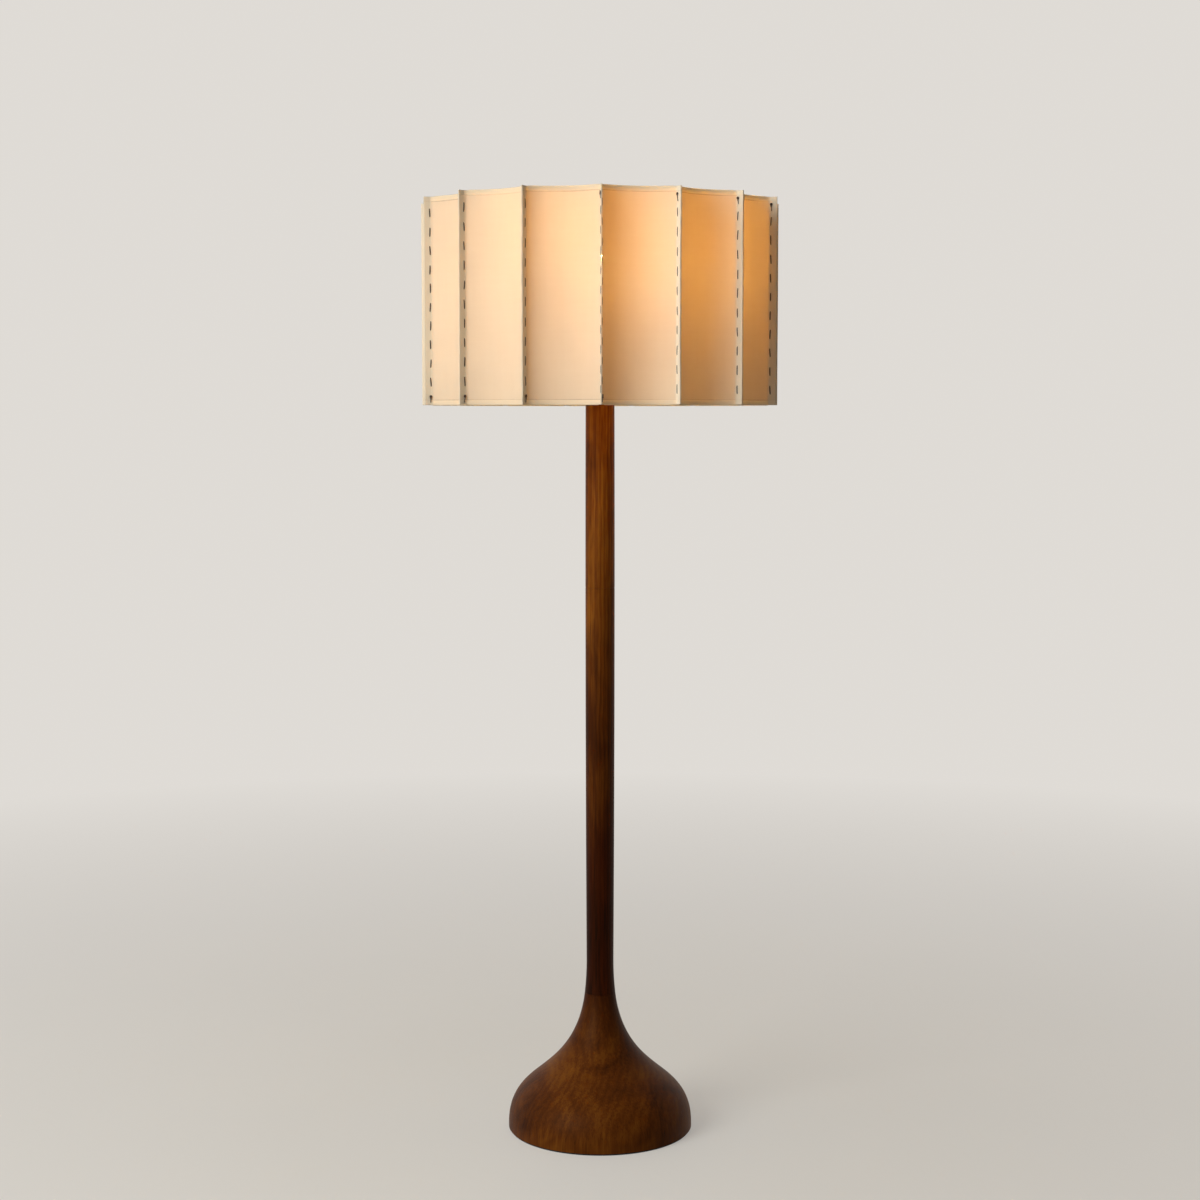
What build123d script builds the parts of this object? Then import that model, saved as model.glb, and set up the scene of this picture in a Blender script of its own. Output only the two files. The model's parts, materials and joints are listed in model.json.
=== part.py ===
from build123d import *
import os
from math import atan2, cos, hypot, pi, radians, sin, sqrt, tan

os.makedirs("parts", exist_ok=True)

# Wooden floor lamp: a turned base and pole, a lamp holder with its harp, and a scalloped, laced shade.
# Millimetres, +Z up. The origin is on the floor under the pole's axis, and the front is -Y.

# Turned wood
PAD_T = 3.0
PAD_INSET = 2.5  # the pad's edge lies this far inside the foot's
FOOT_R = 152.0
FOOT_WALL_H = 7.0  # straight wall round the foot, before the shoulder rolls in
BELL_H = 225.0  # foot's underside to the joint with the pole
BEND_R = 95.0  # where the round shoulder turns into the hollow sweep
BEND_RISE = 91.0  # height of that place above the straight wall
BEND_ANGLE = 49.0  # slope there, in degrees from the vertical
NECK_R = 25.3  # at the joint of bell and pole
NECK_ANGLE = 6.4  # slope there, in degrees from the vertical
WALL_PULL = 52.5  # how far each end of the bell's two curves runs on along its tangent
SHOULDER_PULL = 32.5
SWEEP_PULL = 30.0
NECK_PULL = 75.0
WAIST_R = 22.3
LOWER_POLE_L = 674.0
UPPER_POLE_L = 361.0
POLE_BELLY_R = 23.9  # widest part above the waist, halfway up to the top
POLE_TOP_R = 23.3
EDGE_BREAK = 0.6  # small chamfer on the edges that meet at a joint of the wood
TENON_R = 13.5
TENON_L = 20.0
TENON_GAP = 0.1
TENON_END_GAP = 0.5

# Weight and fastenings under the base
RIM_W = 44.0  # wood left round the recess for the weight
WEIGHT_T = 18.0
WEIGHT_GAP = 0.5
WEIGHT_HOLE_R = 24.0
WEIGHT_SCREWS = 3
SCREW_CIRCLE_R = 75.0
SCREW_R = 2.2
SCREW_HEAD_R = 4.6
SCREW_BITE = 15.0
SCREW_GAP = 0.1
WASHER_R = 18.0
WASHER_T = 2.0
NUT_FLATS = 17.0
NUT_T = 6.0
PIPE_TAIL = 4.0  # pipe showing below the nut

# Cord gland at the back of the foot
GLAND_R = 5.5
GLAND_L = 16.0
GLAND_FLANGE_R = 8.0
GLAND_FLANGE_T = 3.0
GLAND_GAP = 0.15
CORD_BORE_R = 3.5
CORD_SLOT_W = 9.0

# Pipe up the middle, in two lengths
PIPE_R = 5.0
PIPE_BORE_R = 3.5
PIPE_GAP = 0.5  # between the pipe and the wood
THREAD_GAP = 0.05  # threads are drawn as plain cylinders this far apart
COUPLING_R = 7.0
COUPLING_L = 24.0

# Fittings on top of the pole
CAP_R = 20.5
CAP_T = 3.0
SADDLE_SPAN = 57.0  # between the two posts
SADDLE_W = 12.0
SADDLE_T = 2.0
EAR_H = 10.0
EAR_T = 5.0
SADDLE_NUT_T = 3.0
POST_H = 9.0
SLEEVE_L = 18.0
SLEEVE_WALL = 1.6
SLEEVE_GAP = 0.1
SLEEVE_TRAVEL = 12.0

# Harp
HARP_WIRE_R = 2.2
HARP_H = 229.0  # saddle's underside to the seat of the shade
HARP_W = 114.0
HARP_CROWN_W = 50.0
HARP_CROWN_DROP = 78.0  # crown to the corner at the widest place
SEAT_R = 8.0
SEAT_T = 3.0
BOSS_R = 4.6
STUD_R = 3.1
STUD_H = 13.0

# Lamp holder on its riser, its switch and the bulb
RISER_R = 7.5
RISER_H = 28.0
HOLDER_NECK_R = 8.5
HOLDER_NECK_H = 6.0
HOLDER_R = 17.5
HOLDER_WALL = 0.8
HOLDER_CAP_H = 20.0
HOLDER_LAP = 7.0  # how far the shell slides into the cap
HOLDER_SHELL_H = 42.0
HOLDER_GAP = 0.1
LINER_T = 0.8
BODY_H = 18.0
SCREW_SHELL_WALL = 0.6
SCREW_SHELL_H = 22.0
CONTACT_R = 4.0
CONTACT_T = 1.2
KEY_STEM_R = 1.8
KEY_STEM_GAP = 0.08
KEY_STEM_IN = 8.0  # length of the stem inside the holder's body
KEY_STEM_OUT = 4.0  # length of the stem showing
KEY_W = 14.0
KEY_L = 12.0
KEY_T = 3.6
BULB_R = 30.0
BULB_H = 108.0
BULB_WALL = 0.8
BULB_CAP_R = 13.0
BULB_CAP_H = 25.0
BULB_TIP_R = 4.5
BULB_TIP_H = 3.0
RUN_GAP = 0.3  # between pieces that turn or slide past one another
BEND_SHARE = 0.45  # share of the shorter of its two runs that a bend in a wire takes up

# Shade
PANELS = 15
SHADE_H = 326.0
SHADE_R = 292.0  # axis to the outer edge of a fin
FIN_W = 12.0  # outer edge of a fin to the crease at its root
PANEL_HOLLOW = 18.0  # depth of a panel's middle behind its two creases
SHEET_T = 0.8
HEM_H = 7.5
SEAM_GAP = 0.1
FRONT_FIN_TURN = 0.42  # degrees by which the front fin stands off the -Y direction
RING_T = 2.0
RING_H = 2.4
RING_INSET = 1.5  # ring's edge to the edge of the shade
GLUE_GAP = 0.1
SPIDER_ARMS = 3
SPIDER_WIRE_R = 1.5
SPIDER_DROP = 29.7  # hub's underside to the shade's top edge
SPIDER_TAIL = 14.0  # level stretch of an arm next to the ring
SPIDER_SLOPE_W = 26.0
HUB_RIM = 3.0  # hub's edge outside the harp's seat
HUB_T = 1.6

# Lacing: a running stitch up each fin, seen on both of its faces
STITCHES = 10  # on each face
STITCH_PITCH = 29.4
STITCH_L = 14.0
STITCH_W = 2.0
STITCH_T = 0.9
STITCH_IN = 2.4  # from the crease out to the row of stitches
FIRST_STITCH = 25.6  # top edge to the middle of the first stitch on the face with its knot below
FAR_STITCH = 38.5  # the same on the other face, with its knot above
KNOT_H = 8.0
KNOT_W = 3.6
KNOT_T = 2.0
KNOT_INSET = 12.5  # edge of the shade to the middle of a knot

# Finial
FINIAL_R = 7.8
FINIAL_H = 24.0
FINIAL_FOOT_R = 7.0
FINIAL_FOOT_H = 2.2
FINIAL_NECK_R = 4.6
FINIAL_COVE_R = 2.0
FINIAL_BEAD_R = 1.2
FINIAL_BORE_H = 14.5

# Levels and radii that follow
BELL_TOP_Z = PAD_T + BELL_H
POLE_JOINT_Z = BELL_TOP_Z + LOWER_POLE_L
POLE_TOP_Z = POLE_JOINT_Z + UPPER_POLE_L
RECESS_R = FOOT_R - RIM_W
RECESS_Z = PAD_T + WEIGHT_T + GLUE_GAP
GLAND_Z = PAD_T + GLAND_FLANGE_R
PIPE_HOLE_R = PIPE_R + PIPE_GAP
PIPE_FOOT_Z = RECESS_Z - WASHER_T - NUT_T - PIPE_TAIL
COUPLING_Z = POLE_JOINT_Z - TENON_L - TENON_END_GAP - COUPLING_L / 2 - TENON_END_GAP
SADDLE_Z = POLE_TOP_Z + CAP_T
RISER_Z = SADDLE_Z + SADDLE_T + SADDLE_NUT_T
HOLDER_Z = RISER_Z + RISER_H
PIPE_TOP_Z = HOLDER_Z + HOLDER_NECK_H
SHELL_Z = HOLDER_Z + HOLDER_CAP_H - HOLDER_LAP
SHELL_R = HOLDER_R - HOLDER_WALL - HOLDER_GAP
LINER_R = SHELL_R - HOLDER_WALL - HOLDER_GAP
BODY_R = LINER_R - LINER_T - HOLDER_GAP
SCREW_SHELL_Z = SHELL_Z + BODY_H
SCREW_SHELL_R = BULB_CAP_R + RUN_GAP + SCREW_SHELL_WALL
KEY_Z = SHELL_Z + BODY_H / 2
BULB_Z = SCREW_SHELL_Z + SCREW_SHELL_WALL + CONTACT_T + RUN_GAP
SEAT_Z = SADDLE_Z + HARP_H
# The harp's legs stay straight as far up as the sleeves are slid to free them.
HARP_LEG_L = (SLEEVE_L - POST_H + SLEEVE_TRAVEL + RUN_GAP) / (1 - BEND_SHARE)
HUB_Z = SEAT_Z + RUN_GAP
HUB_R = SEAT_R + HUB_RIM
SHADE_TOP_Z = HUB_Z + SPIDER_DROP
SHADE_Z = SHADE_TOP_Z - SHADE_H
FINIAL_Z = HUB_Z + HUB_T + RUN_GAP

# Plan of one panel, which is centred on +X before it is turned to its place
PITCH = 360 / PANELS
FIRST_FIN = -90 + FRONT_FIN_TURN
FIN_T = SHEET_T + SEAM_GAP / 2  # middle of the seam to the face of the fin
CREASE_R = SHADE_R - FIN_W
CREASE_X = CREASE_R * cos(radians(PITCH / 2)) + FIN_T * sin(radians(PITCH / 2))
CREASE_Y = CREASE_R * sin(radians(PITCH / 2)) - FIN_T * cos(radians(PITCH / 2))
PANEL_R = (PANEL_HOLLOW**2 + CREASE_Y**2) / (2 * PANEL_HOLLOW)
PANEL_X = CREASE_X - PANEL_HOLLOW
HOLLOW_X = PANEL_X + PANEL_R


def tube(outer, inner, z, height):
    """Upright tube on the pole's axis, standing at z."""
    upright = Align.CENTER, Align.CENTER, Align.MIN
    ring = Cylinder(outer, height, align=upright) - Cylinder(inner, height, align=upright)
    return Pos(0, 0, z) * ring


def disc(radius, z, height):
    """Upright cylinder on the pole's axis, standing at z."""
    return Pos(0, 0, z) * Cylinder(radius, height, align=(Align.CENTER, Align.CENTER, Align.MIN))


def hex_nut(flats, z, height, hole):
    """Hexagonal nut on the pole's axis, with its lower face at z."""
    blank = extrude(RegularPolygon(flats / 2, 6, major_radius=False), height)
    return Pos(0, 0, z) * blank - disc(hole, z, height)


def half_outline(points):
    """Face in the XZ plane through (radius, z) points joined by straight lines."""
    return make_face(Polyline(*[(r, 0, z) for r, z in points], close=True))


def turned(face):
    """Solid of revolution about the pole's axis."""
    return revolve(face, Axis.Z, 360)


def bent_wire(points, radius):
    """Round wire through points, with each bend as large as its two runs allow."""
    corners = [Vector(*p) for p in points]
    bends = []
    for before, here, after in zip(corners, corners[1:], corners[2:]):
        turn = radians((here - before).get_angle(after - here))
        run = min((here - before).length, (after - here).length)
        bends.append(BEND_SHARE * run / tan(turn / 2))
    path = FilletPolyline(*corners, radius=bends)
    section = Plane(origin=path @ 0, z_dir=path % 0) * Circle(radius)
    return sweep(section, path=path)


# Turned wood


def turned_column():
    """Base and pole as one turned shape, before it is parted at its two joints."""
    wall = Vector(FOOT_R, 0, PAD_T + FOOT_WALL_H)
    bend = Vector(BEND_R, 0, wall.Z + BEND_RISE)
    neck = Vector(NECK_R, 0, BELL_TOP_Z)
    up, lean, draw = (Vector(-sin(radians(a)), 0, cos(radians(a))) for a in (0, BEND_ANGLE, NECK_ANGLE))
    # The pole's hollow leaves the bell at its slope there and stands upright at the waist.
    waist = Vector(WAIST_R, 0, BELL_TOP_Z + (NECK_R - WAIST_R) / tan(radians(NECK_ANGLE / 2)))
    belly = (POLE_BELLY_R, 0, (waist.Z + POLE_TOP_Z) / 2)
    top = (POLE_TOP_R, 0, POLE_TOP_Z)
    outline = [
        Line((0, 0, PAD_T), (FOOT_R, 0, PAD_T)),
        Line((FOOT_R, 0, PAD_T), wall),
        Bezier(wall, wall + up * WALL_PULL, bend - lean * SHOULDER_PULL, bend),
        Bezier(bend, bend + lean * SWEEP_PULL, neck - draw * NECK_PULL, neck),
        TangentArc(neck, waist, tangent=draw),
        ThreePointArc(waist, belly, top),
        Line(top, (0, 0, POLE_TOP_Z)),
        Line((0, 0, POLE_TOP_Z), (0, 0, PAD_T)),
    ]
    return turned(make_face(outline))


def part_off(column, low, high, *ends):
    """Stretch of the column between two levels, with its rim broken at the given ends."""
    piece = column & disc(FOOT_R + 1, low, high - low)
    for level in ends:
        end_face = piece.faces().sort_by(Axis.Z)[0 if level == low else -1]
        rim = sqrt(end_face.area / pi)
        into = 2 * EDGE_BREAK if level == low else -2 * EDGE_BREAK
        corner = [(rim - EDGE_BREAK, level), (rim + EDGE_BREAK, level), (rim + EDGE_BREAK, level + into)]
        piece -= turned(half_outline(corner))
    return piece


def radial_slot(width, low, high, start, end):
    """Round-topped slot towards the back, open below, centred on the gland's axis."""
    tunnel = Pos(0, start, GLAND_Z) * Rot(-90, 0, 0) * Cylinder(
        width / 2, end - start, align=(Align.CENTER, Align.CENTER, Align.MIN)
    )
    box = Pos(0, (start + end) / 2, (low + high) / 2) * Box(width, end - start, high - low)
    return tunnel + box


def base_bell(column):
    """Bell of the base, hollowed for the weight and drilled for pipe, screws and gland."""
    bell = part_off(column, PAD_T, BELL_TOP_Z, BELL_TOP_Z)
    bell -= disc(RECESS_R, PAD_T, RECESS_Z - PAD_T)
    bell -= disc(PIPE_HOLE_R, PAD_T, BELL_H)
    mortise = TENON_L + TENON_END_GAP
    bell -= disc(TENON_R + TENON_GAP, BELL_TOP_Z - mortise, mortise)
    for x, y in screw_places():
        bell -= Pos(x, y, 0) * disc(SCREW_R + THREAD_GAP, RECESS_Z, SCREW_BITE + 1)
    bell -= radial_slot(CORD_SLOT_W, PAD_T, GLAND_Z, 0, FOOT_R)
    barrel_end = FOOT_R - GLAND_FLANGE_T - GLAND_L - GLAND_GAP
    bell -= radial_slot(2 * (GLAND_R + GLAND_GAP), PAD_T, GLAND_Z, barrel_end, FOOT_R + 1)
    seat = FOOT_R - GLAND_FLANGE_T
    bell -= radial_slot(2 * (GLAND_FLANGE_R + GLAND_GAP), PAD_T, GLAND_Z, seat, FOOT_R + 1)
    return bell


def tenoned_pole(column, low, high):
    """Length of pole with a tenon below, drilled for the pipe."""
    pole = part_off(column, low, high, low, high)
    pole += disc(TENON_R, low - TENON_L, TENON_L)
    return pole - disc(PIPE_HOLE_R, low - TENON_L, high - low + TENON_L)


def lower_pole(column):
    """Lower pole, with the mortise for the upper one and room for the pipe's coupling."""
    mortise = TENON_L + TENON_END_GAP
    pole = tenoned_pole(column, BELL_TOP_Z, POLE_JOINT_Z)
    pole -= disc(TENON_R + TENON_GAP, POLE_JOINT_Z - mortise, mortise)
    pocket = COUPLING_Z - COUPLING_L / 2 - TENON_END_GAP
    return pole - disc(COUPLING_R + PIPE_GAP, pocket, POLE_JOINT_Z - mortise - pocket)


# Under the base


def screw_places():
    """Centres of the weight's screws, clear of the cord's slot."""
    turns = [-90 + k * 360 / WEIGHT_SCREWS for k in range(WEIGHT_SCREWS)]
    return [(SCREW_CIRCLE_R * cos(radians(a)), SCREW_CIRCLE_R * sin(radians(a))) for a in turns]


def screw_head(x, y, grow):
    """Countersunk head with its flat face down, level with the weight's underside."""
    outline = [(0, PAD_T), (SCREW_HEAD_R + grow, PAD_T), (SCREW_R + grow, PAD_T + SCREW_HEAD_R - SCREW_R)]
    outline.append((0, PAD_T + SCREW_HEAD_R - SCREW_R))
    return Pos(x, y, 0) * turned(half_outline(outline))


def base_weight():
    """Cast disc in the recess, with a hole for the nut, a slot for the cord and three sunk screw holes."""
    weight = tube(RECESS_R - WEIGHT_GAP, WEIGHT_HOLE_R, PAD_T, WEIGHT_T)
    weight = chamfer(weight.edges().group_by(Axis.Z)[0].sort_by(SortBy.RADIUS)[-1], EDGE_BREAK)
    weight -= radial_slot(CORD_SLOT_W, PAD_T, GLAND_Z, WEIGHT_HOLE_R / 2, RECESS_R)
    for x, y in screw_places():
        weight -= Pos(x, y, 0) * disc(SCREW_R + SCREW_GAP, PAD_T, WEIGHT_T)
        weight -= screw_head(x, y, SCREW_GAP)
    return weight


def weight_screws():
    """The weight's screws, each a separate solid."""
    shank = WEIGHT_T + GLUE_GAP + SCREW_BITE
    screws = [screw_head(x, y, 0) + Pos(x, y, 0) * disc(SCREW_R, PAD_T, shank) for x, y in screw_places()]
    return Compound(screws)


def cord_gland():
    """Flanged bush for the cord, lying along +Y in the slot at the back."""
    seat = FOOT_R - GLAND_FLANGE_T
    outline = [
        (CORD_BORE_R, -GLAND_L),
        (GLAND_R, -GLAND_L),
        (GLAND_R, 0),
        (GLAND_FLANGE_R, 0),
        (GLAND_FLANGE_R, GLAND_FLANGE_T - EDGE_BREAK),
        (GLAND_FLANGE_R - EDGE_BREAK, GLAND_FLANGE_T),
        (CORD_BORE_R, GLAND_FLANGE_T),
    ]
    return Pos(0, seat, GLAND_Z) * Rot(-90, 0, 0) * turned(half_outline(outline))


# Top of the pole


def pole_cap():
    """Brass cap on the end of the pole."""
    cap = tube(CAP_R, PIPE_R + THREAD_GAP, POLE_TOP_Z, CAP_T)
    rim = cap.edges().group_by(Axis.Z)[-1].sort_by(SortBy.RADIUS)[-1]
    return chamfer(rim, CAP_T / 3)


def post_places():
    """Centres of the two posts that carry the harp."""
    return [(-SADDLE_SPAN / 2, 0), (SADDLE_SPAN / 2, 0)]


def harp_saddle():
    """Strip across the pipe with an ear at each end, and a post on each ear."""
    saddle = Pos(0, 0, SADDLE_Z + SADDLE_T / 2) * Box(SADDLE_SPAN + EAR_T, SADDLE_W, SADDLE_T)
    for x, y in post_places():
        saddle += Pos(x, y, SADDLE_Z + EAR_H / 2) * Box(EAR_T, SADDLE_W, EAR_H)
        saddle += Pos(x, y, 0) * disc(HARP_WIRE_R, SADDLE_Z + EAR_H, POST_H)
    return saddle - disc(PIPE_R + THREAD_GAP, SADDLE_Z, SADDLE_T)


def harp_sleeve(x):
    """Sleeve that locks one leg of the harp to its post."""
    bore = HARP_WIRE_R + SLEEVE_GAP
    return Pos(x, 0, 0) * tube(bore + SLEEVE_WALL, bore, SADDLE_Z + EAR_H, SLEEVE_L)


def harp():
    """Bent wire over the bulb, with a boss, seat and stud brazed on its crown."""
    foot = SADDLE_Z + EAR_H + POST_H + RUN_GAP
    crown = SEAT_Z - SEAT_T - HARP_WIRE_R
    half = [
        (SADDLE_SPAN / 2, foot),
        (SADDLE_SPAN / 2, foot + HARP_LEG_L),
        (HARP_W / 2, crown - HARP_CROWN_DROP),
        (HARP_CROWN_W / 2, crown),
    ]
    route = [(-x, 0, z) for x, z in half] + [(x, 0, z) for x, z in reversed(half)]
    wire = bent_wire(route, HARP_WIRE_R)
    wire += disc(BOSS_R, crown - HARP_WIRE_R, 2 * HARP_WIRE_R)
    wire += disc(SEAT_R, SEAT_Z - SEAT_T, SEAT_T)
    return wire + disc(STUD_R, SEAT_Z, STUD_H)


# Lamp holder and bulb


def key_rod(radius, start, length):
    """Cylinder along the switch key's axis, towards the front, starting this far from the pole's axis."""
    rod = Cylinder(radius, length, align=(Align.CENTER, Align.CENTER, Align.MIN))
    return Pos(0, -start, KEY_Z) * Rot(90, 0, 0) * rod


def holder_cap():
    """Domed cap of the lamp holder, screwed on the pipe."""
    top = HOLDER_Z + HOLDER_CAP_H
    skirt = SHELL_Z - HOLDER_GAP
    outline = [
        (PIPE_R + THREAD_GAP, HOLDER_Z),
        (HOLDER_NECK_R, HOLDER_Z),
        (HOLDER_NECK_R, PIPE_TOP_Z),
        (HOLDER_R, skirt),
        (HOLDER_R, top),
        (HOLDER_R - HOLDER_WALL, top),
        (HOLDER_R - HOLDER_WALL, skirt),
        (HOLDER_NECK_R - HOLDER_WALL, PIPE_TOP_Z + HOLDER_WALL),
        (PIPE_R + THREAD_GAP, PIPE_TOP_Z + HOLDER_WALL),
    ]
    return turned(half_outline(outline))


def holder_shell():
    """Outer shell of the lamp holder, with the key's hole."""
    shell = tube(SHELL_R, SHELL_R - HOLDER_WALL, SHELL_Z, HOLDER_SHELL_H)
    return shell - key_rod(KEY_STEM_R + RUN_GAP, KEY_STEM_IN, HOLDER_R)


def holder_liner():
    """Insulating tube inside the shell."""
    liner = tube(LINER_R, LINER_R - LINER_T, SHELL_Z, HOLDER_SHELL_H)
    return liner - key_rod(KEY_STEM_R + RUN_GAP, KEY_STEM_IN, HOLDER_R)


def holder_body():
    """Moulded block that carries contacts and switch, standing on the cap's floor by a hollow foot."""
    floor = PIPE_TOP_Z + HOLDER_WALL
    body = disc(BODY_R, SHELL_Z, BODY_H)
    body += tube(HOLDER_NECK_R - HOLDER_WALL - HOLDER_GAP, PIPE_BORE_R, floor, SHELL_Z - floor)
    return body - key_rod(KEY_STEM_R + KEY_STEM_GAP, KEY_STEM_IN - RUN_GAP, HOLDER_R)


def screw_shell():
    """Threaded cup that takes the bulb's cap, drawn without its thread."""
    cup = disc(SCREW_SHELL_R, SCREW_SHELL_Z, SCREW_SHELL_H)
    cup -= disc(SCREW_SHELL_R - SCREW_SHELL_WALL, SCREW_SHELL_Z + SCREW_SHELL_WALL, SCREW_SHELL_H)
    return cup - disc(CONTACT_R + HOLDER_GAP, SCREW_SHELL_Z, SCREW_SHELL_WALL)


def switch_key():
    """Turn key of the switch: a stem into the holder and a flat thumb piece outside."""
    stem = key_rod(KEY_STEM_R, KEY_STEM_IN, HOLDER_R - KEY_STEM_IN + KEY_STEM_OUT)
    thumb = extrude(Plane.XZ * SlotOverall(KEY_W, KEY_T), KEY_L)
    thumb = fillet(thumb.edges().group_by(Axis.Y)[0], KEY_T / 4)
    return stem + Pos(0, -HOLDER_R - KEY_STEM_OUT, KEY_Z) * thumb


def bulb_glass():
    """Pear-shaped envelope, open at the neck, where the metal cap closes it."""
    neck = BULB_Z + BULB_CAP_H
    centre = BULB_Z + BULB_H - BULB_R
    walls = []
    for shrink in (0, BULB_WALL):
        ball_r = BULB_R - shrink
        neck_r = BULB_CAP_R - shrink
        rise = centre - neck
        away = hypot(rise, neck_r)
        # The cone's line leaves the neck and touches the ball.
        touch = atan2(neck_r, -rise) - atan2((away**2 - ball_r**2) ** 0.5, ball_r)
        walls.append((ball_r, neck_r, touch))
    outline = []
    (ball_r, neck_r, touch), (in_r, in_neck, in_touch) = walls
    outer = [(ball_r * sin(a), 0, centre + ball_r * cos(a)) for a in (touch, touch / 2, 0)]
    inner = [(in_r * sin(a), 0, centre + in_r * cos(a)) for a in (in_touch, in_touch / 2, 0)]
    outline.append(Line((neck_r, 0, neck), outer[0]))
    outline.append(ThreePointArc(*outer))
    outline.append(Line(outer[2], inner[2]))
    outline.append(ThreePointArc(*reversed(inner)))
    outline.append(Line(inner[0], (in_neck, 0, neck)))
    outline.append(Line((in_neck, 0, neck), (neck_r, 0, neck)))
    return turned(make_face(outline))


def bulb_cap():
    """Screw cap of the bulb with its centre tip, drawn without its thread."""
    outline = [
        (0, BULB_Z),
        (BULB_TIP_R, BULB_Z),
        (BULB_TIP_R, BULB_Z + BULB_TIP_H / 2),
        (BULB_CAP_R, BULB_Z + BULB_TIP_H),
        (BULB_CAP_R, BULB_Z + BULB_CAP_H),
        (0, BULB_Z + BULB_CAP_H),
    ]
    return turned(half_outline(outline))


def finial():
    """Turned knob over a bead and a cove, with a blind hole for the harp's stud."""
    neck = FINIAL_NECK_R
    cove = FINIAL_Z + FINIAL_FOOT_H
    bead = cove + FINIAL_COVE_R
    ball = FINIAL_Z + FINIAL_H - FINIAL_R
    inside = FINIAL_COVE_R * (1 - sqrt(0.5))
    points = [
        (0, FINIAL_Z),
        (FINIAL_FOOT_R, FINIAL_Z),
        (FINIAL_FOOT_R, cove),
        (neck + FINIAL_COVE_R, cove),
        (neck + inside, cove + inside),
        (neck, bead),
        (neck + FINIAL_BEAD_R, bead + FINIAL_BEAD_R),
        (neck, bead + 2 * FINIAL_BEAD_R),
        (neck, ball - sqrt(FINIAL_R**2 - neck**2)),
        (FINIAL_R, ball),
        (0, ball + FINIAL_R),
    ]
    at = [Vector(r, 0, z) for r, z in points]
    lines = [Line(at[k], at[k + 1]) for k in (0, 1, 2, 7)]
    arcs = [ThreePointArc(at[k], at[k + 1], at[k + 2]) for k in (3, 5, 8)]
    knob = turned(make_face(lines + arcs + [Line(at[-1], at[0])]))
    return knob - disc(STUD_R + SLEEVE_GAP, FINIAL_Z, FINIAL_BORE_H)


# Shade


def bowed_wall(depth, thickness, low, high):
    """Upright wall along a panel's curve, its outer face lying depth inside the panel's outer face."""
    out = PANEL_R + depth
    ring = Cylinder(out + thickness, high - low) - Cylinder(out, high - low)
    return Pos(HOLLOW_X, 0, (low + high) / 2) * ring


def wedge(gap):
    """The panel's sector between its two seams, kept clear of each seam by gap."""
    reach = SHADE_R + 1
    corner = gap / sin(radians(PITCH / 2))
    far = (reach - corner) * tan(radians(PITCH / 2))
    sector = make_face(Polyline((corner, 0), (reach, -far), (reach, far), close=True))
    return Pos(0, 0, SHADE_Z) * extrude(sector, SHADE_H)


def shade_panel():
    """One sheet: a wall hollow to the outside, doubled hems, and half of the fin at each side."""
    sheet = bowed_wall(0, SHEET_T, SHADE_Z, SHADE_TOP_Z)
    sheet += bowed_wall(SHEET_T, SHEET_T, SHADE_Z, SHADE_Z + HEM_H)
    sheet += bowed_wall(SHEET_T, SHEET_T, SHADE_TOP_Z - HEM_H, SHADE_TOP_Z)
    sheet &= wedge(SEAM_GAP / 2)
    middle = (SHADE_Z + SHADE_TOP_Z) / 2
    for side in (-1, 1):
        half_fin = Pos((CREASE_R + SHADE_R) / 2, side * -(SEAM_GAP + SHEET_T) / 2, middle)
        sheet += Rot(0, 0, side * PITCH / 2) * half_fin * Box(FIN_W, SHEET_T, SHADE_H)
    return sheet


def ring(low):
    """Flat steel strip bent along the inside of the hems, one shallow arc for each panel."""
    depth = 2 * SHEET_T + GLUE_GAP
    arc = bowed_wall(depth, RING_T, low, low + RING_H) & wedge(0)
    arcs = [Rot(0, 0, FIRST_FIN + (k + 0.5) * PITCH) * arc for k in range(PANELS)]
    return arcs[0].fuse(*arcs[1:])


def spider():
    """Hub on the harp's seat and three arms that rise to the ring."""
    hub = tube(HUB_R, STUD_R + RUN_GAP, HUB_Z, HUB_T)
    level = HUB_Z + HUB_T / 2
    raised = SHADE_TOP_Z - RING_INSET - RING_H / 2
    end = PANEL_X - 2 * SHEET_T - 2 * GLUE_GAP - RING_T
    inner = SEAT_R + SPIDER_WIRE_R
    route = [
        (inner, 0, level),
        (end - SPIDER_TAIL - SPIDER_SLOPE_W, 0, level),
        (end - SPIDER_TAIL, 0, raised),
        (end, 0, raised),
    ]
    arm = bent_wire(route, SPIDER_WIRE_R)
    for k in range(SPIDER_ARMS):
        hub += Rot(0, 0, FRONT_FIN_TURN + 90 + k * 360 / SPIDER_ARMS) * arm
    return hub


def bar_on_fin(side, depth_from_top, length, width, thickness):
    """Bar along one face of the fin that stands on +X."""
    y = side * (FIN_T + GLUE_GAP + thickness / 2)
    z = SHADE_TOP_Z - depth_from_top
    return Pos(CREASE_R + STITCH_IN, y, z) * Box(width, thickness, length)


def seam_lacing():
    """Stitches on both faces of each fin, half a pitch apart, with a knot at one end of each row."""
    fin = []
    for side, start, knot in ((1, FIRST_STITCH, SHADE_H - KNOT_INSET), (-1, FAR_STITCH, KNOT_INSET)):
        for k in range(STITCHES):
            fin.append(bar_on_fin(side, start + k * STITCH_PITCH, STITCH_L, STITCH_W, STITCH_T))
        fin.append(bar_on_fin(side, knot, KNOT_H, KNOT_W, KNOT_T))
    turns = [Rot(0, 0, FIRST_FIN + k * PITCH) for k in range(PANELS)]
    return Compound([turn * bar for turn in turns for bar in fin])


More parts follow.
